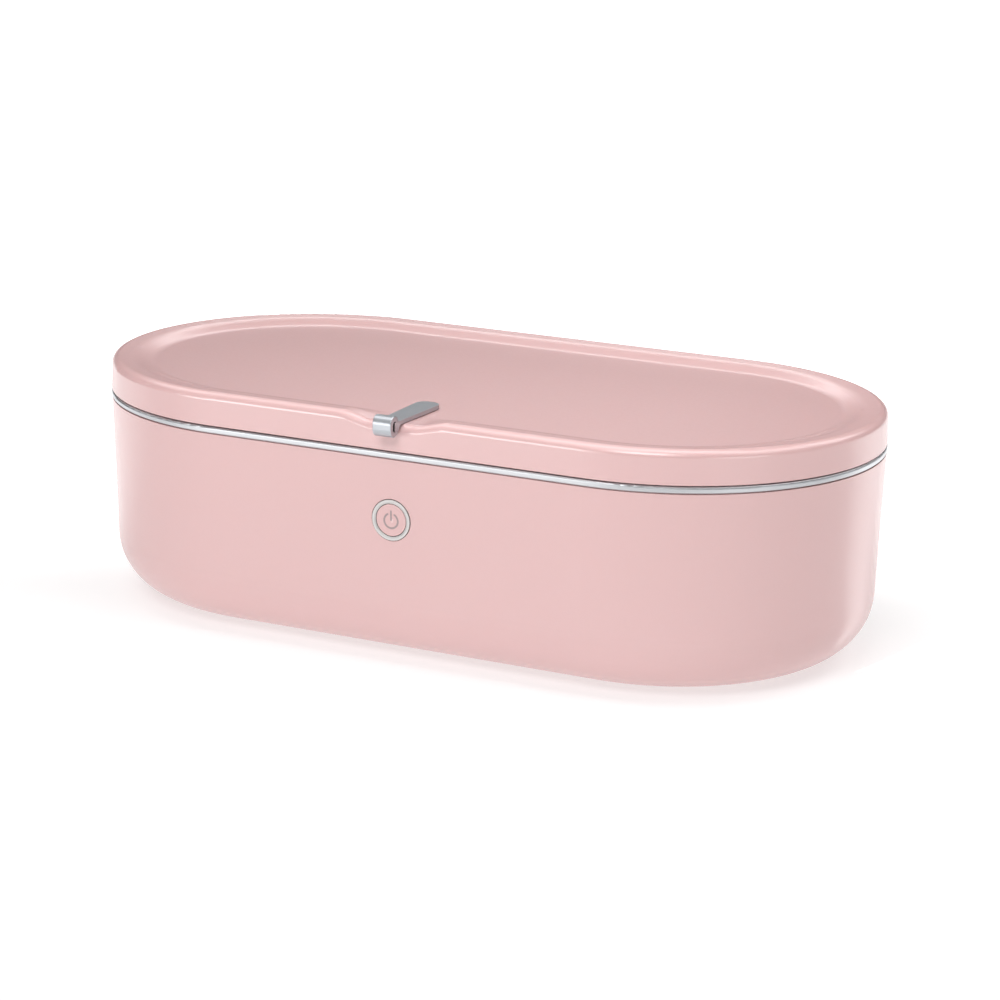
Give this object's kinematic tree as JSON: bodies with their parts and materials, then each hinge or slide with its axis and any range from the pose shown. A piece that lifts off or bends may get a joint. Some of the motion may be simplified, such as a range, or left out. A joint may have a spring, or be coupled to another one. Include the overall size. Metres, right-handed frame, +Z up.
{
  "type": "uv sterilizer box",
  "caption": "Stadium-shaped ultraviolet sterilizer box with a hinged dished lid, bright trim band, lift tab, mirrored inner tub and front power button.",
  "frame": {"origin": "middle of the plan, on the plane that the feet stand on", "axes": "+X along the long side, -Y towards the front with the button, +Z up"},
  "size_m": [0.25, 0.1407, 0.0769],
  "materials": {
    "shell_pink": "satin gloss",
    "button_pink": "satin gloss",
    "liner_bright": "bright",
    "trim_chrome": "polished",
    "tab_metal": "satin",
    "bezel_silver": "satin",
    "foot_rubber": "matte",
    "seal_silicone": "matte",
    "fastener_steel": "satin",
    "socket_steel": "satin",
    "component_black": "matte",
    "plunger_grey": "matte",
    "board_green": "satin",
    "connector_white": "satin",
    "magnet_nickel": "satin",
    "cable_grey": "matte",
    "flex_amber": "satin",
    "led_board_white": "matte",
    "led_chip": "satin",
    "window_quartz": "polished"
  },
  "bodies": {
    "base": {"base_shell": "shell_pink", "base_liner": "liner_bright", "trim_ring": "trim_chrome", "rubber_feet": "foot_rubber", "case_screws": "fastener_steel", "button_bezel": "bezel_silver", "tact_switch": "component_black", "control_board": "board_green", "board_components": "component_black", "lid_sensor": "component_black", "control_board_screws": "fastener_steel", "inlet_board": "board_green", "inlet_connectors": "connector_white", "inlet_board_screws": "fastener_steel", "usb_socket": "socket_steel", "base_magnets": "magnet_nickel", "base_harness": "cable_grey", "hinge_pin": "fastener_steel"},
    "button": {"power_button": "button_pink", "switch_plunger": "plunger_grey"},
    "lid": {"lid_shell": "shell_pink", "lid_liner": "liner_bright", "lid_seal": "seal_silicone", "led_windows": "window_quartz", "led_boards": "led_board_white", "uv_leds": "led_chip", "led_lenses": "window_quartz", "led_board_screws": "fastener_steel", "panel_screws": "fastener_steel", "lid_magnets": "magnet_nickel", "sensor_magnet": "magnet_nickel", "lift_tab": "tab_metal", "tab_screws": "fastener_steel", "lid_flex": "flex_amber", "lid_connector": "connector_white", "lid_wires": "cable_grey"}
  },
  "joints": [
    {"name": "lid_hinge", "type": "hinge", "parent": "base", "child": "lid", "pos_m": [0, 0.0676, 0.06535], "axis": [-1, 0, 0], "range_deg": [0, 100], "deforming": ["lid_flex"]},
    {"name": "power_button_press", "type": "slide", "parent": "base", "child": "button", "axis": [0, 0.9995, 0.0332], "range_m": [0, 0.0008], "stiffness_N_per_m": 2500}
  ]
}
